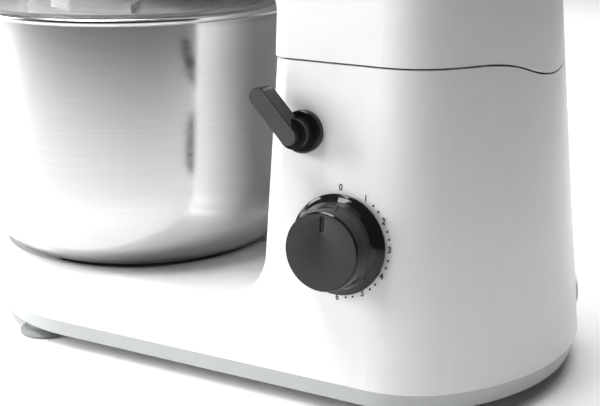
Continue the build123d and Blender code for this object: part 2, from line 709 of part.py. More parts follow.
with BuildPart() as idler_pulley:
    with BuildSketch(Plane.XY.offset(MAIN_Z + 9)):
        with Locations((IDLER_X, 0)):
            Circle(12.0)
    extrude(amount=6.5)
    for z, radius, height in pulley_steps(PULLEY_R):
        with BuildSketch(Plane.XY.offset(z)):
            with Locations((IDLER_X, 0)):
                Circle(radius)
        extrude(amount=height)
    with BuildSketch(Plane.XY.offset(MAIN_Z)):
        with Locations((IDLER_X, 0)):
            Circle(IDLER_R + RUN_GAP)
    extrude(amount=40, mode=Mode.SUBTRACT)
    with BuildSketch(Plane.XY.offset(PULLEY_Z)):
        with Locations((IDLER_X, 0)):
            with PolarLocations(24, 5):
                Circle(8.5)
    extrude(amount=20, mode=Mode.SUBTRACT)
idler_pulley.part.label = "idler_pulley"
export_step(idler_pulley.part, "parts/idler_pulley.step")

with BuildPart() as belt:
    with BuildSketch(Plane.XY.offset(BELT_Z)):
        with Locations((IDLER_X, 0)):
            Circle(PULLEY_R + BELT_GAP + BELT_T)
        with Locations((MOTOR_X, 0)):
            Circle(MOTOR_PULLEY_R + BELT_GAP + BELT_T)
        make_hull()
    extrude(amount=BELT_H)
    with BuildSketch(Plane.XY.offset(BELT_Z)):
        with Locations((IDLER_X, 0)):
            Circle(PULLEY_R + BELT_GAP)
        with Locations((MOTOR_X, 0)):
            Circle(MOTOR_PULLEY_R + BELT_GAP)
        make_hull()
    extrude(amount=BELT_H, mode=Mode.SUBTRACT)
belt.part.label = "drive_belt"
export_step(belt.part, "parts/drive_belt.step")

# ---------------------------------------------------------------- tool shaft and flat beater
PLANET_TOP = TEETH_Z + TEETH_H
with BuildPart() as planet_gear:
    with BuildSketch(Plane.XY.offset(TEETH_Z)):
        with Locations((TOOL_X, 0)):
            add(gear_face(PLANET_TEETH, PLANET_MODULE, 0.75, 1.1, 0.42))
            Circle(SHAFT_R, mode=Mode.SUBTRACT)
    extrude(amount=TEETH_H)
planet_gear.part.label = "planet_gear"
export_step(planet_gear.part, "parts/planet_gear.step")

TOOL_PIN_Z = 172.0
with BuildPart() as tool_shaft:
    with BuildSketch(Plane.XY.offset(160)):
        with Locations((TOOL_X, 0)):
            Circle(SHAFT_R)
    extrude(amount=PLANET_TOP + 1 - 160)
    chamfer(tool_shaft.edges().group_by(Axis.Z)[0], 1.0)
    with BuildSketch(Plane.XY.offset(192.5)):
        with Locations((TOOL_X, 0)):
            Circle(TOOL_BOSS_R)
    extrude(amount=4.1)
tool_shaft.part.label = "tool_shaft"
with BuildPart() as cross_pin:
    with BuildSketch(Plane(origin=(TOOL_X, -10, TOOL_PIN_Z), x_dir=(1, 0, 0), z_dir=(0, 1, 0))):
        Circle(2.0)
    extrude(amount=20)
    fillet(cross_pin.edges(), 0.7)
cross_pin.part.label = "cross_pin"
export_step(cross_pin.part, "parts/cross_pin.step")
with BuildPart(mode=Mode.PRIVATE) as bored_shaft:
    add(tool_shaft.part)
    add(cross_pin.part, mode=Mode.SUBTRACT)
bored_shaft.part.label = "tool_shaft"
export_step(bored_shaft.part, "parts/tool_shaft.step")

BEATER_T = 7.0


def both_sides(points):
    """A closed outline from its half, given from the bottom to the top on one side of the tool's axis."""
    right = [(TOOL_X + x, z) for x, z in points]
    left = [(TOOL_X - x, z) for x, z in reversed(points)]
    return right + left


with BuildPart() as beater:
    with BuildSketch(Plane.XZ.offset(-BEATER_T / 2)):
        Polygon(*both_sides([(38, 58), (57, 75), (65, 112), (60, 148), (10, 168)]), align=None)
        fillet(vertices().sort_by(Axis.Y)[:8], 12)
    extrude(amount=BEATER_T)
    with BuildSketch(Plane.XZ.offset(-BEATER_T)):
        Polygon(*both_sides([(34, 67), (49, 80), (56, 112), (52, 141), (8, 157)]), align=None)
        fillet(vertices().sort_by(Axis.Y)[:8], 8)
    extrude(amount=2 * BEATER_T, mode=Mode.SUBTRACT)
    with BuildSketch(Plane.XZ.offset(-BEATER_T / 2 + 0.6)):
        Polygon((TOOL_X - 5, 62), (TOOL_X + 5, 62), (TOOL_X + 5, 160), (TOOL_X - 5, 160), align=None)
        for sx in (1, -1):
            Polygon(*[(TOOL_X + sx * x, z) for x, z in ((0, 66), (60, 104), (60, 112), (0, 74))][::sx],
                    align=None)
            Polygon(*[(TOOL_X + sx * x, z) for x, z in ((0, 104), (58, 140), (54, 146), (0, 112))][::sx],
                    align=None)
    extrude(amount=BEATER_T - 1.2)
    with BuildSketch(Plane.XY.offset(150)):
        with Locations((TOOL_X, 0)):
            Circle(11.5)
    extrude(amount=40, taper=1.5)
    with BuildSketch(Plane.XY.offset(158)):
        with Locations((TOOL_X, 0)):
            Circle(SHAFT_R + 0.1)
    extrude(amount=40, mode=Mode.SUBTRACT)
    with BuildSketch(Plane.XY.offset(TOOL_PIN_Z - 2.4)):
        with Locations((TOOL_X, 0)):
            Rectangle(4.8, 30)
    extrude(amount=30, mode=Mode.SUBTRACT)
beater.part.label = "flat_beater"
export_step(beater.part, "parts/flat_beater.step")

# ---------------------------------------------------------------- motor
STATOR_R, ROTOR_R = 38.0, 23.2
STATOR_Z, STATOR_H = 211.0, 26.0
BRACKET_T = 4.0
LOWER_BRACKET_Z, UPPER_BRACKET_Z = 196.0, 244.0
ROTOR_SHAFT_R, MOTOR_BEARING_R = 4.0, 8.0
COIL_H = 2.6
FAN_Z, FAN_R = 240.2, 26.0
with BuildPart() as stator:
    with BuildSketch(Plane.XY.offset(STATOR_Z)):
        with Locations((MOTOR_X, 0)):
            RectangleRounded(2 * STATOR_R - 8, 2 * STATOR_R, 12)
            Circle(ROTOR_R + 0.6, mode=Mode.SUBTRACT)
    extrude(amount=STATOR_H)
stator.part.label = "motor_stator"
export_step(stator.part, "parts/motor_stator.step")

with BuildPart() as coils:
    for z in (STATOR_Z + STATOR_H, STATOR_Z - COIL_H):
        for side in (0, 180):
            with BuildSketch(Plane.XY.offset(z)):
                with Locations((MOTOR_X, 0)):
                    with PolarLocations(0, 1, start_angle=side):
                        SlotArc(CenterArc((0, 0), 30, -52, 104, mode=Mode.PRIVATE), 8)
            extrude(amount=COIL_H)
coils.part.label = "field_coils"
export_step(coils.part, "parts/field_coils.step")

with BuildPart() as motor_brackets:
    for z in (LOWER_BRACKET_Z, UPPER_BRACKET_Z):
        with BuildSketch(Plane.XY.offset(z)):
            with Locations((MOTOR_X, 0)):
                Rectangle(30, 2 * RAIL_Y - 0.2)
                Circle(28)
                Circle(MOTOR_BEARING_R, mode=Mode.SUBTRACT)
                with GridLocations(0, 50, 1, 2):
                    SlotOverall(22, 5, mode=Mode.SUBTRACT)
        extrude(amount=BRACKET_T)
    with BuildSketch(Plane.XY.offset(LOWER_BRACKET_Z + BRACKET_T)):
        with Locations((MOTOR_X, 0)):
            with GridLocations(24, 82, 2, 2):
                Circle(2.5)
    extrude(amount=UPPER_BRACKET_Z - LOWER_BRACKET_Z - BRACKET_T)
motor_brackets.part.label = "motor_brackets"
export_step(motor_brackets.part, "parts/motor_brackets.step")

with BuildPart() as motor_bearings:
    for z in (LOWER_BRACKET_Z, UPPER_BRACKET_Z):
        with BuildSketch(Plane.XY.offset(z)):
            with Locations((MOTOR_X, 0)):
                Circle(MOTOR_BEARING_R)
                Circle(ROTOR_SHAFT_R + 0.04, mode=Mode.SUBTRACT)
        extrude(amount=BRACKET_T)
motor_bearings.part.label = "motor_bearings"
export_step(motor_bearings.part, "parts/motor_bearings.step")

with BuildPart() as armature:
    with BuildSketch(Plane.XY.offset(212)):
        with Locations((MOTOR_X, 0)):
            Circle(ROTOR_R)
            with PolarLocations(ROTOR_R - 2, 12):
                Rectangle(7, 2.2, mode=Mode.SUBTRACT)
    extrude(amount=24)
    with BuildSketch(Plane.XY.offset(194.5)):
        with Locations((MOTOR_X, 0)):
            Circle(ROTOR_SHAFT_R)
    extrude(amount=65.5)
armature.part.label = "armature"
export_step(armature.part, "parts/armature.step")

COMMUTATOR_R = 9.0
COMMUTATOR_Z, BRUSH_Z, BRUSH_H = 201.5, 202.5, 5.0
with BuildPart() as commutator:
    with BuildSketch(Plane.XY.offset(COMMUTATOR_Z)):
        with Locations((MOTOR_X, 0)):
            Circle(COMMUTATOR_R)
            Circle(ROTOR_SHAFT_R, mode=Mode.SUBTRACT)
            with PolarLocations(COMMUTATOR_R, 24):
                Rectangle(1.6, 0.5, mode=Mode.SUBTRACT)
    extrude(amount=7.5)
commutator.part.label = "commutator"
export_step(commutator.part, "parts/commutator.step")

with BuildPart() as brushes:
    with BuildSketch(Plane.XY.offset(BRUSH_Z)):
        with Locations((MOTOR_X, COMMUTATOR_R + 5.3), (MOTOR_X, -COMMUTATOR_R - 5.3)):
            Rectangle(6, 10)
    extrude(amount=BRUSH_H)
brushes.part.label = "carbon_brushes"
export_step(brushes.part, "parts/carbon_brushes.step")

with BuildPart() as brush_holders:
    with BuildSketch(Plane.XY.offset(LOWER_BRACKET_Z + BRACKET_T)):
        with Locations((MOTOR_X, COMMUTATOR_R + 12), (MOTOR_X, -COMMUTATOR_R - 12)):
            Rectangle(11, 18)
    extrude(amount=9)
    with BuildSketch(Plane.XY.offset(BRUSH_Z - RUN_GAP)):
        with Locations((MOTOR_X, COMMUTATOR_R + 9), (MOTOR_X, -COMMUTATOR_R - 9)):
            Rectangle(6.1, 18)
    extrude(amount=BRUSH_H + 2 * RUN_GAP, mode=Mode.SUBTRACT)
brush_holders.part.label = "brush_holders"
export_step(brush_holders.part, "parts/brush_holders.step")

with BuildPart() as motor_fan:
    with BuildSketch(Plane.XY.offset(FAN_Z)):
        with Locations((MOTOR_X, 0)):
            Circle(FAN_R)
            Circle(ROTOR_SHAFT_R, mode=Mode.SUBTRACT)
    extrude(amount=0.8)
    with BuildSketch(Plane.XY.offset(FAN_Z)):
        with Locations((MOTOR_X, 0)):
            Circle(8)
            with PolarLocations(18, 10):
                Rectangle(15, 1.2, rotation=20)
            Circle(ROTOR_SHAFT_R, mode=Mode.SUBTRACT)
    extrude(amount=3.4)
motor_fan.part.label = "motor_fan"
export_step(motor_fan.part, "parts/motor_fan.step")

with BuildPart() as motor_pulley:
    for z, radius, height in pulley_steps(MOTOR_PULLEY_R):
        with BuildSketch(Plane.XY.offset(z)):
            with Locations((MOTOR_X, 0)):
                Circle(radius)
                Circle(ROTOR_SHAFT_R, mode=Mode.SUBTRACT)
        extrude(amount=height)
motor_pulley.part.label = "motor_pulley"
export_step(motor_pulley.part, "parts/motor_pulley.step")

# ---------------------------------------------------------------- splash guard and filler flap
GUARD_Z, GUARD_T = 201.2, 2.0   # its underside, just over the bowl's rolled edge
GUARD_RISE = 5.0                # how far the cover rises from its edge to its collar
GUARD_TOP = UNDER_Z - 0.4
COLLAR_R = 61.0
CHUTE_ANGLE = 235.0
CHUTE_R, CHUTE_DEEP, CHUTE_WIDE = 90.0, 26.0, 44.0
CHUTE_TOP = 217.0
RIB_ANGLE = -55.0
FLAP_HINGE = CHUTE_DEEP / 2 + 5.5
FLAP_T, KNUCKLE_R, FLAP_PIN_R = 1.8, 2.6, 1.0
flap_z = CHUTE_TOP + 0.3
chute_dir = Vector(cos(radians(CHUTE_ANGLE)), sin(radians(CHUTE_ANGLE)), 0)
across = Vector(-chute_dir.Y, chute_dir.X, 0)


def hinge_plane(along):
    """Plane across the flap's hinge line, its z along that line."""
    origin = Vector(DRIVE_X, 0, flap_z) + chute_dir * (CHUTE_R + FLAP_HINGE) + across * along
    return Plane(origin=origin, x_dir=chute_dir, z_dir=across)


def chute_plane(z):
    """Plane over the filler opening, its x pointing away from the drive axis."""
    return Plane(origin=Vector(DRIVE_X, 0, z) + chute_dir * CHUTE_R, x_dir=chute_dir, z_dir=(0, 0, 1))


with BuildPart() as guard:
    with BuildSketch(Plane.XZ):
        with BuildLine():
            Polyline(
                (DRIVE_X + COLLAR_R, GUARD_Z),
                (DRIVE_X + GUARD_R, GUARD_Z),
                (DRIVE_X + GUARD_R, GUARD_Z + GUARD_T),
                (DRIVE_X + COLLAR_R + GUARD_T, GUARD_Z + GUARD_T + GUARD_RISE),
                (DRIVE_X + COLLAR_R + GUARD_T, GUARD_TOP),
                (DRIVE_X + COLLAR_R, GUARD_TOP),
                (DRIVE_X + COLLAR_R, GUARD_Z),
            )
        make_face()
    revolve(axis=Axis((DRIVE_X, 0, 0), (0, 0, 1)))
    with BuildSketch(chute_plane(GUARD_Z)):
        RectangleRounded(CHUTE_DEEP + 4, CHUTE_WIDE + 4, 6)
    extrude(amount=CHUTE_TOP - GUARD_Z)
    with BuildSketch(chute_plane(GUARD_Z - 2)):
        RectangleRounded(CHUTE_DEEP, CHUTE_WIDE, 4)
    extrude(amount=CHUTE_TOP, mode=Mode.SUBTRACT)
    rib_dir = (cos(radians(RIB_ANGLE)), sin(radians(RIB_ANGLE)), 0)
    with BuildSketch(Plane(origin=(DRIVE_X, 0, GUARD_Z + 1), x_dir=rib_dir, z_dir=(0, 0, 1))):
        with Locations((98, 0)):
            Rectangle(24, 3)
    extrude(amount=8)
    for side in (1, -1):
        with BuildSketch(hinge_plane(side * 9.5)):
            Circle(KNUCKLE_R)
            Polygon((-3.4, 14.6), (-KNUCKLE_R, 0), (KNUCKLE_R, 0), (KNUCKLE_R, 14.6), align=None)
            Circle(FLAP_PIN_R, mode=Mode.SUBTRACT)
        extrude(amount=1.5, both=True)
guard.part.label = "splash_guard"
export_step(guard.part, "parts/splash_guard.step")

with BuildPart() as flap:
    with BuildSketch(chute_plane(flap_z)):
        RectangleRounded(CHUTE_DEEP + 5, CHUTE_WIDE + 7, 7)
    extrude(amount=FLAP_T)
    fillet(flap.edges().group_by(Axis.Z)[-1], 0.6)
    with BuildSketch(chute_plane(flap_z)):
        with Locations((FLAP_HINGE - 1, 0)):
            Rectangle(6, 14)
    extrude(amount=FLAP_T)
    with BuildSketch(hinge_plane(-7)):
        Circle(KNUCKLE_R)
    extrude(amount=14)
    with BuildSketch(hinge_plane(-20)):
        Circle(FLAP_PIN_R + RUN_GAP)
    extrude(amount=40, mode=Mode.SUBTRACT)
flap.part.label = "filler_flap"
export_step(flap.part, "parts/filler_flap.step")

with BuildPart() as flap_pin:
    with BuildSketch(hinge_plane(-11)):
        Circle(FLAP_PIN_R)
    extrude(amount=22)
flap_pin.part.label = "flap_pin"
export_step(flap_pin.part, "parts/flap_pin.step")

# ---------------------------------------------------------------- tilt lever and latch
LEVER_ANGLE = 135.0             # points up and forward
SHAFT = 5.0
LEVER_BOSS_R, COLLAR_OUT_R = 7.9, 11.2
BOSS_IN, LEVER_BOSS_T = 4.8, 8.0
ARM_LONG, ARM_WIDE = 35.4, 9.6
ARM_IN, ARM_OUT = 7.2, 18.2     # back and front of the arm, out from the panel
ARM_MID = (ARM_LONG - ARM_WIDE) / 2 - 0.8
CAP_INSET = 0.6
with BuildPart() as lever_bush:
    for out, radius, height in ((-8.0, 6.3, 8.0), (0.15, COLLAR_OUT_R, 4.0)):
        with BuildSketch(panel_plane(LEVER_X, LEVER_Z, out)):
            Circle(radius)
        extrude(amount=height + 0.2)
    fillet(lever_bush.edges().sort_by(Axis.Y)[0], 1.2)
    with BuildSketch(panel_plane(LEVER_X, LEVER_Z, -10)):
        Circle(SHAFT + RUN_GAP)
    extrude(amount=20, mode=Mode.SUBTRACT)
lever_bush.part.label = "lever_bush"
export_step(lever_bush.part, "parts/lever_bush.step")

with BuildPart() as lever:
    with BuildSketch(panel_plane(LEVER_X, LEVER_Z, BOSS_IN)):
        Circle(LEVER_BOSS_R)
    extrude(amount=LEVER_BOSS_T)
    with BuildSketch(panel_plane(LEVER_X, LEVER_Z, ARM_IN)):
        with Locations(Location((0, 0, 0), (0, 0, LEVER_ANGLE))):
            with Locations((ARM_MID, 0)):
                SlotOverall(ARM_LONG, ARM_WIDE)
    extrude(amount=ARM_OUT - ARM_IN)
    with BuildSketch(panel_plane(LEVER_X, LEVER_Z, 3)):
        Circle(SHAFT)
    extrude(amount=9, mode=Mode.SUBTRACT)
lever.part.label = "tilt_lever"
export_step(lever.part, "parts/tilt_lever.step")

with BuildPart() as lever_cap:
    with BuildSketch(panel_plane(LEVER_X, LEVER_Z, ARM_OUT)):
        with Locations(Location((0, 0, 0), (0, 0, LEVER_ANGLE))):
            with Locations((ARM_MID, 0)):
                SlotOverall(ARM_LONG - CAP_INSET, ARM_WIDE - CAP_INSET)
    extrude(amount=0.9)
lever_cap.part.label = "lever_cap"
export_step(lever_cap.part, "parts/lever_cap.step")

CRANK_R, CRANK_PIN_R, CRANK_OUT = 8.0, 2.0, -24.0
with BuildPart() as lever_shaft:
    with BuildSketch(panel_plane(LEVER_X, LEVER_Z, CRANK_OUT)):
        Circle(SHAFT)
    extrude(amount=12 - CRANK_OUT)
    with BuildSketch(panel_plane(LEVER_X, LEVER_Z, CRANK_OUT)):
        Circle(CRANK_R + 3)
    extrude(amount=3.5)
    with BuildSketch(panel_plane(LEVER_X, LEVER_Z, CRANK_OUT - 7)):
        with Locations((0, -CRANK_R)):
            Circle(CRANK_PIN_R)
    extrude(amount=7)
lever_shaft.part.label = "lever_shaft"
export_step(lever_shaft.part, "parts/lever_shaft.step")

COIL_PITCH, WIRE_R = 1.9, 0.7
with BuildPart() as lever_spring:
    spring_plane = panel_plane(LEVER_X, LEVER_Z, -19)
    coil = Helix(pitch=COIL_PITCH, height=4 * COIL_PITCH, radius=7.2, mode=Mode.PRIVATE)
    coil = spring_plane.location * coil
    with BuildSketch(Plane(origin=coil @ 0, z_dir=coil % 0)):
        Circle(WIRE_R)
    sweep(path=coil, is_frenet=True)
lever_spring.part.label = "lever_spring"
export_step(lever_spring.part, "parts/lever_spring.step")

LATCH_OUT, LATCH_T = -30.0, 3.0
with BuildPart() as latch:
    with BuildSketch(panel_plane(LEVER_X, LEVER_Z, LATCH_OUT)):
        Polygon(
            (-14, -15),
            (22, -15),
            (22, 26),
            (7.5, 26),
            (9.5, 22),
            (15, 22),
            (15, -1),
            (-14, -1),
            align=None,
        )
        with Locations((0, -CRANK_R + 0.6)):
            SlotOverall(11, 2 * CRANK_PIN_R + 1.4, rotation=90, mode=Mode.SUBTRACT)
    extrude(amount=LATCH_T)
latch.part.label = "latch_bolt"
export_step(latch.part, "parts/latch_bolt.step")

with BuildPart() as strike:
    with BuildSketch(Plane.XY.offset(196)):
        with Locations((76, -(RAIL_Y + RAIL_T + 5))):
            Rectangle(12, 10)
    extrude(amount=3)
    with BuildSketch(panel_plane(LEVER_X, LEVER_Z, LATCH_OUT)):
        Polygon((-6, 16), (3.0, 16), (3.0, 20), (-1, 20), (-1, 51), (-6, 51), align=None)
    extrude(amount=LATCH_T)
strike.part.label = "latch_strike"
export_step(strike.part, "parts/latch_strike.step")

# ---------------------------------------------------------------- speed knob, switch and board
KNOB_SKIRT_R, KNOB_FACE_R, KNOB_OUT = 26.6, 20.6, 21.2
NOTCH_DEEP, NOTCH_UP = 0.9, 14.4
SPINDLE_R = 3.0


def panel_revolve_plane():
    """Plane through the knob's axis: local x out from the axis, local y out of the panel."""
    face = panel_plane(KNOB_X, KNOB_Z)
    return Plane(origin=face.origin, x_dir=(1, 0, 0), z_dir=Vector(1, 0, 0).cross(face.z_dir))


knob_axis = Axis(panel_plane(KNOB_X, KNOB_Z).origin, panel_plane(KNOB_X, KNOB_Z).z_dir)
with BuildPart() as knob:
    with BuildSketch(panel_revolve_plane()):
        with BuildLine():
            Polyline((SPINDLE_R, 1.2), (25.6, 1.2), (KNOB_SKIRT_R, 2.0), (KNOB_SKIRT_R, 3.0))
            ThreePointArc((KNOB_SKIRT_R, 3.0), (22.9, 6.0), (KNOB_FACE_R + 0.7, 11.0))
            Polyline(
                (KNOB_FACE_R + 0.7, 11.0),
                (KNOB_FACE_R, KNOB_OUT - 0.8),
                (KNOB_FACE_R - 0.8, KNOB_OUT),
                (0, KNOB_OUT),
                (0, 16),
                (SPINDLE_R, 16),
                (SPINDLE_R, 1.2),
            )
        make_face()
    revolve(axis=knob_axis)
    with BuildSketch(panel_plane(KNOB_X, KNOB_Z, KNOB_OUT - NOTCH_DEEP)):
        with Locations((0, NOTCH_UP)):
            SlotOverall(8.2, 2.4, rotation=90)
    extrude(amount=4, mode=Mode.SUBTRACT)
knob.part.label = "speed_knob"
export_step(knob.part, "parts/speed_knob.step")

with BuildPart() as pointer:
    with BuildSketch(panel_plane(KNOB_X, KNOB_Z, KNOB_OUT - NOTCH_DEEP)):
        with Locations((0, NOTCH_UP)):
            SlotOverall(8.0, 2.2, rotation=90)
    extrude(amount=0.3)
pointer.part.label = "knob_pointer"
export_step(pointer.part, "parts/knob_pointer.step")

with BuildPart() as spindle:
    with BuildSketch(panel_plane(KNOB_X, KNOB_Z, -22)):
        Circle(SPINDLE_R)
    extrude(amount=37.5)
spindle.part.label = "knob_spindle"
export_step(spindle.part, "parts/knob_spindle.step")

with BuildPart() as switch:
    with BuildSketch(panel_plane(KNOB_X, KNOB_Z, -26)):
        Circle(15)
        Rectangle(34, 20)
    extrude(amount=18)
    with BuildSketch(panel_plane(KNOB_X, KNOB_Z, -9)):
        Circle(4.6)
    extrude(amount=9)
    with BuildSketch(panel_plane(KNOB_X, KNOB_Z, -22.2)):
        Circle(SPINDLE_R + RUN_GAP)
    extrude(amount=30, mode=Mode.SUBTRACT)
switch.part.label = "speed_switch"
export_step(switch.part, "parts/speed_switch.step")

BOARD_Y = -60.0
with BuildPart() as board:
    with BuildSketch(Plane.XZ.offset(-BOARD_Y)):
        with Locations((102, 84)):
            RectangleRounded(70, 84, 3)
            with GridLocations(62, 76, 2, 2):
                Circle(1.6, mode=Mode.SUBTRACT)
    extrude(amount=1.6)
    for x, z, wide, high, deep in ((86, 104, 18, 15, 14), (118, 108, 14, 14, 22), (90, 64, 22, 12, 10),
                                   (120, 70, 10, 24, 12), (104, 88, 8, 8, 16)):
        with BuildSketch(Plane.XZ.offset(-BOARD_Y)):
            with Locations((x, z)):
                Rectangle(wide, high)
        extrude(amount=-deep)
board.part.label = "control_board"
export_step(board.part, "parts/control_board.step")

# ---------------------------------------------------------------- cable inlet
INLET_R = 3.6
INLET_BACK = 103.8
with BuildPart() as inlet:
    for reach, radius, length in (
        (INLET_BACK, 6.8, INLET_FACE - INLET_BACK - 1.6),
        (INLET_FACE - 1.6, 9.0, 1.6),
    ):
        with BuildSketch(inlet_plane(reach)):
            with Locations((0, INLET_Z)):
                Circle(radius)
        extrude(amount=length)
    with BuildSketch(inlet_plane(INLET_BACK - 4)):
        with Locations((0, INLET_Z)):
            Circle(INLET_R)
    extrude(amount=30, mode=Mode.SUBTRACT)
inlet.part.label = "cable_inlet"
export_step(inlet.part, "parts/cable_inlet.step")

# ---------------------------------------------------------------- screws of the head
deck_screw = screw(1.9, 3.6, 2.0, 5.2)
head_screws = Compound([Pos(x, y, PLATE_Z + PLATE_T) * Rot(180, 0, 0) * deck_screw for x, y in DECK_SCREWS])
head_screws.label = "head_screws"
export_step(head_screws, "parts/head_screws.step")
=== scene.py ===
import json
from math import atan2, cos, pi, radians, sin, tan

import bmesh
import bpy
from mathutils import Matrix, Vector


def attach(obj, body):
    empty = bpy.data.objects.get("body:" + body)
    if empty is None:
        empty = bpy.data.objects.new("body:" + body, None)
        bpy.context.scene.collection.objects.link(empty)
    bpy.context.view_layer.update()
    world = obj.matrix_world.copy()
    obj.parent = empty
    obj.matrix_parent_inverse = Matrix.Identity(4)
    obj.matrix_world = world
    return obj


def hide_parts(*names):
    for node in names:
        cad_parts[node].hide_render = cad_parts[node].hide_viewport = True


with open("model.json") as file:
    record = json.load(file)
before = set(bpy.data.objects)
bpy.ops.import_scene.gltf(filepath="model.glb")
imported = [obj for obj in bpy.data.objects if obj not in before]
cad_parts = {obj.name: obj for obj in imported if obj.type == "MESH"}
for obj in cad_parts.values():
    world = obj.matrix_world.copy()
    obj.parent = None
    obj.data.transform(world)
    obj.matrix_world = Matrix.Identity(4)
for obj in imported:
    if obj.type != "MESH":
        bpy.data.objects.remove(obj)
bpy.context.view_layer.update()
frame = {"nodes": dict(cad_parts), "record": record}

MM = 0.001
LATHE_STEPS = 256               # sides of a turned piece
LEAN = radians(5.5)             # the walls lean in
DRIVE_X = -0.0865               # drive axis and bowl centre
nodes = frame["nodes"]
scene = bpy.context.scene


# ------------------------------------------------------------------ node helpers
class Nodes:
    """Builds one node tree."""

    def __init__(self, name):
        self.material = bpy.data.materials.new(name)
        self.material.use_nodes = True
        self.tree = self.material.node_tree
        self.shader = self.tree.nodes["Principled BSDF"]
        self.place = self.tree.nodes.new("ShaderNodeTexCoord").outputs["Object"]

    def add(self, kind, inputs=None, **settings):
        node = self.tree.nodes.new(kind)
        for key, value in settings.items():
            setattr(node, key, value)
        for key, value in (inputs or {}).items():
            self.put(node.inputs[key], value)
        return node

    def put(self, socket, value):
        if isinstance(value, bpy.types.NodeSocket):
            self.tree.links.new(value, socket)
        else:
            socket.default_value = value

    def stretched(self, scale, shift=(0, 0, 0)):
        inputs = {"Vector": self.place, "Scale": scale, "Location": shift}
        return self.add("ShaderNodeMapping", inputs).outputs[0]

    def noise(self, scale, detail=2.0, rough=0.5, vector=None):
        return self.add(
            "ShaderNodeTexNoise",
            {"Vector": vector or self.place, "Scale": scale, "Detail": detail, "Roughness": rough},
        ).outputs["Fac"]

    def ranged(self, value, low, high, start=0.3, end=0.7):
        return self.add(
            "ShaderNodeMapRange",
            {"Value": value, "From Min": start, "From Max": end, "To Min": low, "To Max": high},
        ).outputs["Result"]

    def colours(self, value, first, second, start=0.3, end=0.7):
        ramp = self.add("ShaderNodeValToRGB", {"Fac": value})
        ramp.color_ramp.elements[0].position = start
        ramp.color_ramp.elements[1].position = end
        ramp.color_ramp.elements[0].color = (*first, 1)
        ramp.color_ramp.elements[1].color = (*second, 1)
        return ramp.outputs["Color"]

    def bump(self, value, strength, distance, normal=None):
        inputs = {"Height": value, "Strength": strength, "Distance": distance}
        if normal is not None:
            inputs["Normal"] = normal
        return self.add("ShaderNodeBump", inputs).outputs["Normal"]

    def finish(self, **sockets):
        for key, value in sockets.items():
            self.put(self.shader.inputs[key.replace("_", " ")], value)
        return self.material


def moulded(name, dark, light, rough, grain, depth, blotch=60.0, **sockets):
    """Moulded plastic, rubber or cast metal: slow colour drift, fine grain, uneven gloss."""
    n = Nodes(name)
    slow = n.noise(blotch, 3.0)
    fine = n.noise(grain, 3.0, 0.6)
    mixed = n.add("ShaderNodeMath", {0: slow, 1: fine}, operation="ADD").outputs[0]
    half = n.add("ShaderNodeMath", {0: mixed, 1: 0.5}, operation="MULTIPLY").outputs[0]
    return n.finish(
        Base_Color=n.colours(half, dark, light),
        Roughness=n.ranged(half, rough[0], rough[1]),
        Normal=n.bump(fine, 1.0, depth),
        **sockets,
    )


def brushed(name, dark, light, rough, centre_x, lines=5200.0):
    """Sheet steel brushed round a vertical axis."""
    n = Nodes(name)
    centred = n.stretched((1, 1, 1), (-centre_x, 0, 0))
    split = n.add("ShaderNodeSeparateXYZ", {"Vector": centred})
    flat = n.add("ShaderNodeCombineXYZ", {"X": split.outputs["X"], "Y": split.outputs["Y"]}).outputs[0]
    radius = n.add("ShaderNodeVectorMath", {0: flat}, operation="LENGTH").outputs["Value"]
    run = n.add("ShaderNodeMath", {0: radius, 1: split.outputs["Z"]}, operation="ADD").outputs[0]
    thin = n.add("ShaderNodeMath", {0: run, 1: lines}, operation="MULTIPLY").outputs[0]
    wide = n.add("ShaderNodeVectorMath", {0: flat, 1: (16, 16, 0)}, operation="MULTIPLY")
    parts = n.add("ShaderNodeSeparateXYZ", {"Vector": wide.outputs[0]})
    coords = n.add(
        "ShaderNodeCombineXYZ",
        {"X": parts.outputs["X"], "Y": parts.outputs["Y"], "Z": thin},
    ).outputs[0]
    streaks = n.noise(1.0, 4.0, 0.75, coords)
    bands = n.noise(0.035, 2.0, 0.5, coords)
    tangent = n.add("ShaderNodeTangent", direction_type="RADIAL", axis="Z").outputs[0]
    return n.finish(
        Base_Color=n.colours(streaks, dark, light),
        Metallic=1.0,
        Roughness=n.ranged(bands, rough[0], rough[1]),
        Anisotropic=0.55,
        Tangent=tangent,
        Normal=n.bump(streaks, 0.35, 0.00001),
    )


def clear(name, tint, rough):
    """Clear moulded plastic with a faint haze."""
    n = Nodes(name)
    haze = n.noise(90.0, 3.0)
    ripple = n.noise(55.0, 1.0)
    return n.finish(
        Base_Color=n.colours(haze, tint, (1.0, 1.0, 1.0)),
        Roughness=n.ranged(haze, rough[0], rough[1]),
        Transmission_Weight=0.82,
        IOR=1.46,
        Normal=n.bump(ripple, 0.15, 0.0002),
    )


WHITE = moulded("white_plastic", (0.80, 0.80, 0.795), (0.84, 0.84, 0.836), (0.27, 0.33), 2200.0, 0.000004,
                Coat_Weight=0.15, Coat_Roughness=0.12)
GREY = moulded("grey_plastic", (0.135, 0.14, 0.139), (0.165, 0.17, 0.169), (0.38, 0.48), 2600.0, 0.00001)
PALE = moulded("pale_grey_plastic", (0.47, 0.485, 0.485), (0.52, 0.535, 0.535), (0.34, 0.44), 2600.0, 0.00001)
MID_GREY = moulded("mid_grey_plastic", (0.20, 0.205, 0.205), (0.24, 0.245, 0.245), (0.42, 0.52), 2600.0,
                   0.00001)
RUBBER = moulded("cloudy_rubber", (0.20, 0.22, 0.22), (0.27, 0.29, 0.29), (0.35, 0.5), 1500.0, 0.00002,
                 Subsurface_Weight=0.2, Subsurface_Scale=0.004)
BLACK_RUBBER = moulded("black_rubber", (0.018, 0.018, 0.018), (0.035, 0.035, 0.035), (0.5, 0.65), 1500.0,
                       0.00002)
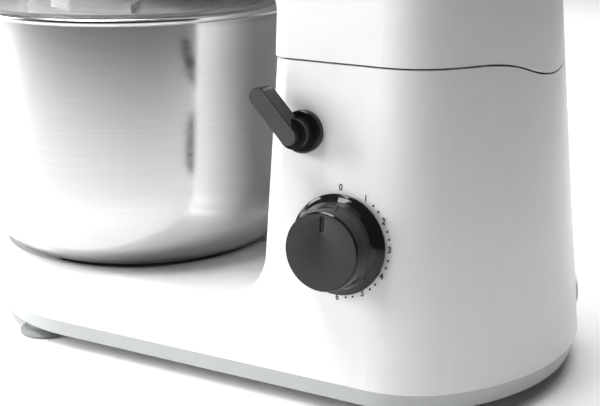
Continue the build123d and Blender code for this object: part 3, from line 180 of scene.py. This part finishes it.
GLOSS = moulded("black_gloss", (0.008, 0.008, 0.0085), (0.013, 0.013, 0.0135), (0.06, 0.10), 900.0, 0.000002,
               Specular_IOR_Level=0.3)
SOFT_BLACK = moulded("soft_black", (0.012, 0.012, 0.0125), (0.018, 0.018, 0.0185), (0.12, 0.20), 1500.0,
                     0.000004, Specular_IOR_Level=0.22)
SATIN = moulded("black_satin", (0.013, 0.013, 0.0135), (0.019, 0.019, 0.0195), (0.34, 0.42), 3000.0, 0.000006)
FACE = moulded("dark_satin", (0.045, 0.046, 0.046), (0.056, 0.057, 0.057), (0.32, 0.40), 3000.0, 0.000006)
BOWL = brushed("brushed_bowl_steel", (0.51, 0.51, 0.505), (0.62, 0.62, 0.615), (0.13, 0.19), DRIVE_X)
CLEAR = clear("clear_plastic", (0.95, 0.97, 0.97), (0.02, 0.05))
CAST = moulded("cast_aluminium", (0.52, 0.52, 0.52), (0.66, 0.66, 0.665), (0.34, 0.46), 1100.0, 0.00004,
               Metallic=1.0)
STEEL = moulded("machined_steel", (0.42, 0.42, 0.43), (0.55, 0.55, 0.56), (0.22, 0.34), 1600.0, 0.00001,
                Metallic=1.0)
COPPER = moulded("enamelled_copper", (0.48, 0.19, 0.08), (0.62, 0.28, 0.13), (0.28, 0.4), 1400.0, 0.00003,
                 Metallic=1.0)
BOARD = moulded("green_board", (0.02, 0.10, 0.05), (0.03, 0.15, 0.07), (0.35, 0.45), 1200.0, 0.00001)
INK = moulded("grey_print", (0.022, 0.023, 0.023), (0.035, 0.036, 0.036), (0.45, 0.55), 3000.0, 0.000004)

FINISH = {
    "white_shell": WHITE, "grey_plastic": GREY, "grey_rubber": RUBBER, "brushed_steel": BOWL,
    "clear_plastic": CLEAR, "black_gloss": GLOSS, "lever_face": FACE, "pointer_inlay": GLOSS,
    "cast_aluminium": CAST, "steel": STEEL, "copper": COPPER, "carbon": BLACK_RUBBER,
    "belt_rubber": BLACK_RUBBER, "board_green": BOARD,
}
# nodes whose finish differs from the one of their slot
SPECIAL = {"bottom_cover": PALE, "column_top_plate": MID_GREY, "tilt_lever": SOFT_BLACK, "cable_inlet": WHITE}
SMOOTH_ANGLE = radians(28)
for row in frame["record"]["subparts"]:
    part = nodes[row["node"]]
    finish = SPECIAL.get(row["node"], FINISH[row["material_slot"]])
    part.data.materials.clear()
    part.data.materials.append(finish)


# ------------------------------------------------------------------ mesh helpers
def new_object(name, bm, finish, body, angle=SMOOTH_ANGLE, stands_for=()):
    """Makes a piece that rides on a body; stands_for names the nodes that it replaces."""
    mesh = bpy.data.meshes.new(name)
    bmesh.ops.recalc_face_normals(bm, faces=bm.faces)
    bm.to_mesh(mesh)
    bm.free()
    for face in mesh.polygons:
        face.use_smooth = True
    mesh.set_sharp_from_angle(angle=angle)
    piece = bpy.data.objects.new(name, mesh)
    scene.collection.objects.link(piece)
    mesh.materials.append(finish)
    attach(piece, body)
    if stands_for:
        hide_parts(*stands_for)
    return piece


def lathe(profile, segments, place=Matrix.Identity(4)):
    """Turns a closed profile of (radius, height) points in metres about local Z."""
    bm = bmesh.new()
    rings = []
    for radius, height in profile:
        if radius < 1e-7:
            rings.append([bm.verts.new(place @ Vector((0, 0, height)))])
            continue
        turn = [2 * pi * i / segments for i in range(segments)]
        rings.append([bm.verts.new(place @ Vector((radius * cos(a), radius * sin(a), height))) for a in turn])
    pairs = list(zip(rings, rings[1:])) + ([(rings[-1], rings[0])] if len(rings[0]) > 1 else [])
    for low, high in pairs:
        for i in range(segments):
            j = (i + 1) % segments
            corners = [low[i % len(low)], low[j % len(low)], high[j % len(high)], high[i % len(high)]]
            unique = list(dict.fromkeys(corners))
            if len(unique) > 2:
                bm.faces.new(unique)
    return bm


def rounded(points, radii, steps=5):
    """Rounds the corners of an open line of points; radii has one value per point."""
    line = []
    for i, (x, y) in enumerate(points):
        r = radii[i]
        if r <= 0 or i in (0, len(points) - 1):
            line.append((x, y))
            continue
        here = Vector((x, y))
        back = (Vector(points[i - 1]) - here).normalized()
        ahead = (Vector(points[i + 1]) - here).normalized()
        half = back.angle(ahead) / 2
        reach = r / tan(half)
        centre = here + (back + ahead).normalized() * (r / sin(half))
        start, end = here + back * reach - centre, here + ahead * reach - centre
        a0 = atan2(start.y, start.x)
        sweep = atan2(end.y, end.x) - a0
        sweep = (sweep + pi) % (2 * pi) - pi
        for k in range(steps + 1):
            a = a0 + sweep * k / steps
            line.append((centre.x + r * cos(a), centre.y + r * sin(a)))
    return line


def panel(x, z, out=0.0):
    """Place on the control side: local x to the rear, y up the panel, z out of it."""
    y = -(0.1012 - (z - 0.0184) * tan(LEAN))
    normal = Vector((0, -cos(LEAN), sin(LEAN)))
    up = Vector((0, sin(LEAN), cos(LEAN)))
    place = Matrix((Vector((1, 0, 0)), up, normal)).transposed().to_4x4()
    place.translation = Vector((x, y, z)) + normal * out
    return place


# ------------------------------------------------------------------ bowl
def bowl_profile():
    """Closed half section of the bowl in metres: outside, rolled rim, inside."""
    belly_z, floor_z, floor_r, belly_r, top_r, top_z = 100.0, 48.6, 74.0, 107.2, 108.0, 197.2
    skin = 0.9
    thinning_h = 52.0           # over this height the floor's thickness runs out along the wall
    outer = [(floor_r, floor_z)]
    steps = 22
    for k in range(1, steps + 1):
        t = pi / 2 * k / steps
        outer.append((floor_r + (belly_r - floor_r) * sin(t), belly_z - (belly_z - floor_z) * cos(t)))
    shrink = 1 - skin / (belly_r - floor_r)
    inner = [
        (floor_r + (r - floor_r) * shrink, z + skin * (1 - (z - floor_z) / thinning_h))
        for r, z in outer
    ]
    rim_r, rim_z, bead = 107.8, 198.2, 2.15
    turns = [radians(-68 + 14 * k) for k in range(23)]
    lip = [(rim_r + bead * cos(a), rim_z + bead * sin(a)) for a in turns]
    rows, wall_top = 6, top_z - 1.2
    wall = [
        (belly_r + (top_r - belly_r) * k / rows, belly_z + (wall_top - belly_z) * k / rows)
        for k in range(1, rows + 1)
    ]
    back = [(r - skin, z) for r, z in reversed(wall[:-1])]
    line = [(0, floor_z), *outer, *wall, *lip, *back, *reversed(inner), (0, floor_z + skin)]
    return [(r * MM, z * MM) for r, z in line]


bowl_place = Matrix.Translation((DRIVE_X, 0, 0))
new_object("bowl_shell", lathe(bowl_profile(), LATHE_STEPS, bowl_place), BOWL, "bowl",
           radians(50), ("bowl",))

# ------------------------------------------------------------------ speed knob
KNOB_X, KNOB_Z, KNOB_OUT = 0.1028, 0.0942, 0.0212
MARK_UP, MARK_LONG, MARK_WIDE = 0.0144, 0.0082, 0.0024
FACE_R = 0.0195
FACE_BACK, HOLE_R = 0.0202, 0.0030   # closed end and bore of the body behind the face
skirt = rounded(
    [(3.0, 1.2), (25.8, 1.2), (26.6, 1.8), (26.6, 2.9), (25.1, 3.9), (23.1, 6.0), (21.9, 8.6), (21.35, 11.5),
     (20.6, 20.5), (19.9, 21.2), (19.5, 21.2)],
    [0, 0.3, 0.4, 0.5, 1.6, 3.0, 4.0, 6.0, 0.3, 0.3, 0],
)
skirt = [(r * MM, z * MM) for r, z in skirt]


def slot_ring(centre_y, length, width, count=64):
    """Points round an upright slot, starting at angle 0 and going anticlockwise."""
    r, straight = width / 2, (length - width) / 2
    ring = []
    for i in range(count):
        a = 2 * pi * (i + 0.5) / count
        ring.append((r * cos(a), centre_y + r * sin(a) + (straight if sin(a) > 0 else -straight)))
    return ring


def knob_face(place):
    """The flat front of the knob with its sunk mark."""
    bm = bmesh.new()
    rings = [(slot_ring(0, 2 * FACE_R, 2 * FACE_R, 192), 0.0)]
    for grow, drop in ((0.30, 0.0), (0.14, 0.05), (0.04, 0.20), (0.0, 0.45), (0.0, 0.9)):
        spread = 2 * grow * MM
        rings.append((slot_ring(MARK_UP, MARK_LONG + spread, MARK_WIDE + spread, 192), -drop * MM))
    last = None
    for ring, drop in rings:
        verts = [bm.verts.new(place @ Vector((x, y, KNOB_OUT + drop))) for x, y in ring]
        if last:
            for i in range(len(verts)):
                j = (i + 1) % len(verts)
                bm.faces.new((last[i], last[j], verts[j], verts[i]))
        last = verts
    bm.faces.new(last)
    return bm


knob_place = panel(KNOB_X, KNOB_Z)
knob_profile = [*skirt, (FACE_R, FACE_BACK), (HOLE_R, FACE_BACK)]
new_object("knob_body", lathe(knob_profile, LATHE_STEPS, knob_place), GLOSS, "knob",
           radians(40), ("speed_knob",))
new_object("knob_face", knob_face(knob_place), SATIN, "knob", radians(40))

# ------------------------------------------------------------------ dial print
PRINT_LIFT = 0.00002
DIAL_X, DIAL_Z, DIAL_R = 0.1018, 0.0947, 0.0290
TEXT_H, TEXT_GROW, TEXT_NARROW = 0.0047, 0.00014, 0.86
NUMBER_STEP = 29.7              # degrees from one number to the next
DOT_STEP, DOT_TURNS, DOT_R = 30, (10.4, 18.4), 0.00063


def flat_text(name, words, x, y, height):
    """Prints words on the control side, centred on a place on the dial."""
    curve = bpy.data.curves.new(name, "FONT")
    curve.body = words
    curve.size = height
    curve.align_x = "CENTER"
    curve.align_y = "CENTER"
    curve.extrude = PRINT_LIFT
    curve.offset = TEXT_GROW
    text = bpy.data.objects.new(name, curve)
    scene.collection.objects.link(text)
    bpy.context.view_layer.update()
    mesh = bpy.data.meshes.new_from_object(text)
    bpy.data.objects.remove(text)
    narrow = Matrix.Diagonal((TEXT_NARROW, 1, 1, 1))
    mesh.transform(panel(DIAL_X, DIAL_Z, PRINT_LIFT) @ Matrix.Translation((x, y, 0)) @ narrow)
    piece = bpy.data.objects.new(name, mesh)
    scene.collection.objects.link(piece)
    mesh.materials.append(INK)
    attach(piece, "stand")


for number in range(7):
    angle = radians(NUMBER_STEP * number)
    flat_text(f"dial_number_{number}", str(number), DIAL_R * sin(angle), DIAL_R * cos(angle), TEXT_H)

dots = bmesh.new()
for number in range(1, 6):
    for extra in DOT_TURNS:
        angle = radians(DOT_STEP * number + extra)
        step = Matrix.Translation((DIAL_R * sin(angle), DIAL_R * cos(angle), PRINT_LIFT))
        spot = panel(DIAL_X, DIAL_Z) @ step
        bmesh.ops.create_cone(dots, cap_ends=True, segments=24, radius1=DOT_R, radius2=DOT_R,
                              depth=2 * PRINT_LIFT, matrix=spot)
new_object("dial_dots", dots, INK, "stand")

# ------------------------------------------------------------------ stage
FLOOR_R = 6.0
floor_mesh = bmesh.new()
bmesh.ops.create_circle(floor_mesh, cap_ends=True, segments=96, radius=FLOOR_R)
mesh = bpy.data.meshes.new("floor")
floor_mesh.to_mesh(mesh)
floor_mesh.free()
floor = bpy.data.objects.new("floor", mesh)
scene.collection.objects.link(floor)
mesh.materials.append(
    moulded("pale_floor", (0.93, 0.93, 0.93), (0.95, 0.95, 0.95), (0.45, 0.6), 900.0, 0.00001)
)


def softbox(name, place, target, size, power, spread):
    """A rectangular light in watts that faces its target; spread is in degrees."""
    light = bpy.data.lights.new(name, "AREA")
    light.shape = "RECTANGLE"
    light.size, light.size_y = size
    light.energy = power
    light.spread = radians(spread)
    lamp = bpy.data.objects.new(name, light)
    scene.collection.objects.link(lamp)
    lamp.location = place
    lamp.rotation_euler = (Vector(target) - Vector(place)).to_track_quat("-Z", "Y").to_euler()


softbox("overhead", (-0.35, 0.70, 1.6), (-0.30, 0.58, 0.0), (1.8, 1.6), 16.5, 90.0)
softbox("front_top", (-0.30, -0.42, 1.25), (-0.12, -0.16, 0.0), (0.55, 0.45), 2.6, 80.0)
softbox("key", (-1.30, -0.68, 0.62), (0.0, -0.05, 0.10), (0.8, 0.9), 13.8, 120.0)
softbox("floor_right", (0.62, -0.05, 1.3), (0.62, -0.04, 0.0), (0.4, 0.6), 0.45, 32.0)

world = bpy.data.worlds.new("studio")
scene.world = world
world.use_nodes = True
world.node_tree.nodes["Background"].inputs["Color"].default_value = (0.93, 0.94, 0.95, 1)
world.node_tree.nodes["Background"].inputs["Strength"].default_value = 0.045

# ------------------------------------------------------------------ camera
yaw, pitch, roll = radians(28.784), radians(17.514), radians(-0.425)
back = Vector((sin(yaw) * cos(pitch), -cos(yaw) * cos(pitch), sin(pitch)))
right = Vector((cos(yaw), sin(yaw), 0))
up = back.cross(right)
side = cos(roll) * right + sin(roll) * up
top = -sin(roll) * right + cos(roll) * up
camera = bpy.data.objects.new("camera", bpy.data.cameras.new("camera"))
scene.collection.objects.link(camera)
view = Matrix((side, top, back)).transposed().to_4x4()
view.translation = Vector((0.3859, -0.6515, 0.3136))
camera.matrix_world = view
camera.data.sensor_width = 36.0
camera.data.lens = 77.18
camera.data.clip_start = 0.01
scene.camera = camera
scene.view_settings.view_transform = "Standard"
